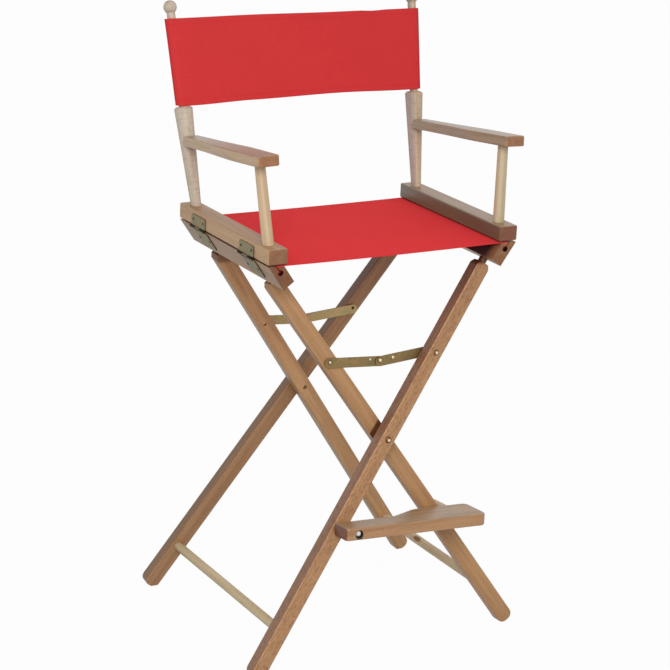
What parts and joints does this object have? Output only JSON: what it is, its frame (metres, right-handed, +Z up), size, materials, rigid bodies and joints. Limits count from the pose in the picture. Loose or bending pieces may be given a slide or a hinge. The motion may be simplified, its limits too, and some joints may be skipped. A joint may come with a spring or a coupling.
{
  "type": "director chair",
  "caption": "Tall folding director chair: crossed wooden legs, hinged arm frames, folding braces, a swinging footrest and slung canvas seat and back.",
  "frame": {"origin": "on the floor, under the middle of the chair's box", "axes": "+Z up, -Y towards the front of the chair, +X to the right of someone who faces it"},
  "size_m": [0.5858, 0.5116, 1.1617],
  "materials": {
    "beech": "satin varnish",
    "pale_wood": "satin varnish",
    "zinc": "yellow zinc plate",
    "steel": "bright zinc plate",
    "canvas": "woven cotton duck"
  },
  "bodies": {
    "pivot": {"front_pivot_bolt": "zinc", "front_pivot_nut": "zinc", "front_pivot_spacer": "steel", "rear_pivot_bolt": "zinc", "rear_pivot_nut": "zinc", "rear_pivot_spacer": "steel", "seat_canvas": "canvas"},
    "left_frame": {"left_seat_rail": "beech", "left_front_leg": "beech", "left_rear_leg": "beech", "left_stretcher": "pale_wood", "left_seat_rod": "pale_wood", "left_front_hinge_rail_leaf": "zinc", "left_front_hinge_pin": "zinc", "front_brace_left_bolt": "zinc", "left_rear_hinge_rail_leaf": "zinc", "left_rear_hinge_pin": "zinc", "rear_brace_left_bolt": "zinc"},
    "right_frame": {"right_seat_rail": "beech", "right_front_leg": "beech", "right_rear_leg": "beech", "right_stretcher": "pale_wood", "right_seat_rod": "pale_wood", "right_front_hinge_rail_leaf": "zinc", "right_front_hinge_pin": "zinc", "front_brace_right_bolt": "zinc", "right_rear_hinge_rail_leaf": "zinc", "right_rear_hinge_pin": "zinc", "rear_brace_right_bolt": "zinc", "footrest_bolt": "steel", "footrest_washer": "steel"},
    "left_arm": {"left_arm_block": "beech", "left_back_post": "pale_wood", "left_front_post": "pale_wood", "left_armrest": "beech", "left_armrest_screw": "zinc", "left_front_hinge_arm_leaf": "zinc", "left_rear_hinge_arm_leaf": "zinc", "back_canvas": "canvas"},
    "right_arm": {"right_arm_block": "beech", "right_back_post": "pale_wood", "right_front_post": "pale_wood", "right_armrest": "beech", "right_armrest_screw": "zinc", "right_front_hinge_arm_leaf": "zinc", "right_rear_hinge_arm_leaf": "zinc"},
    "front_left_link": {"front_brace_left_link": "zinc", "front_brace_rivet": "zinc"},
    "front_right_link": {"front_brace_right_link": "zinc"},
    "rear_left_link": {"rear_brace_left_link": "zinc", "rear_brace_rivet": "zinc"},
    "rear_right_link": {"rear_brace_right_link": "zinc"},
    "footrest": {"footrest": "beech", "footrest_peg": "pale_wood"}
  },
  "joints": [
    {"name": "fold", "type": "hinge", "parent": "pivot", "child": "left_frame", "pos_m": [0, 0.00208, 0.4086], "axis": [0, 1, 0], "range_deg": [0, 30], "deforming": ["seat_canvas", "back_canvas"]},
    {"name": "right_fold", "type": "hinge", "parent": "pivot", "child": "right_frame", "pos_m": [0, 0.00208, 0.4086], "axis": [0, -1, 0], "range_deg": [0, 30]},
    {"name": "left_arm_hinge", "type": "hinge", "parent": "left_frame", "child": "left_arm", "pos_m": [-0.2631, 0.00208, 0.76203], "axis": [0, -1, 0], "range_deg": [0, 30]},
    {"name": "right_arm_hinge", "type": "hinge", "parent": "right_frame", "child": "right_arm", "pos_m": [0.2631, 0.00208, 0.76203], "axis": [0, 1, 0], "range_deg": [0, 30]},
    {"name": "front_brace_lift", "type": "hinge", "parent": "left_frame", "child": "front_left_link", "pos_m": [-0.10496, -0.13768, 0.55757], "axis": [0, -0.9963, 0.0864], "range_deg": [0, 116]},
    {"name": "front_brace_knee", "type": "hinge", "parent": "front_left_link", "child": "front_right_link", "pos_m": [0, -0.14027, 0.54976], "axis": [0, 0.9963, -0.0864], "range_deg": [0, 172]},
    {"name": "rear_brace_lift", "type": "hinge", "parent": "left_frame", "child": "rear_left_link", "pos_m": [-0.10496, 0.14184, 0.55757], "axis": [0, -0.9963, -0.0864], "range_deg": [0, 116]},
    {"name": "rear_brace_knee", "type": "hinge", "parent": "rear_left_link", "child": "rear_right_link", "pos_m": [0, 0.14443, 0.54976], "axis": [0, 0.9963, 0.0864], "range_deg": [0, 172]},
    {"name": "footrest_swing", "type": "hinge", "parent": "right_frame", "child": "footrest", "pos_m": [-0.0915, -0.25392, 0.2615], "axis": [0, -0.9963, 0.0864], "range_deg": [0, 48]}
  ],
  "couplings": [
    {"joint": "right_fold", "follows": "fold", "ratio": 1},
    {"joint": "left_arm_hinge", "follows": "fold", "ratio": 1},
    {"joint": "right_arm_hinge", "follows": "fold", "ratio": 1},
    {"joint": "front_brace_lift", "follows": "fold", "ratio": 3.8548},
    {"joint": "front_brace_knee", "follows": "fold", "ratio": 5.7096},
    {"joint": "rear_brace_lift", "follows": "fold", "ratio": 3.8548},
    {"joint": "rear_brace_knee", "follows": "fold", "ratio": 5.7096}
  ]
}
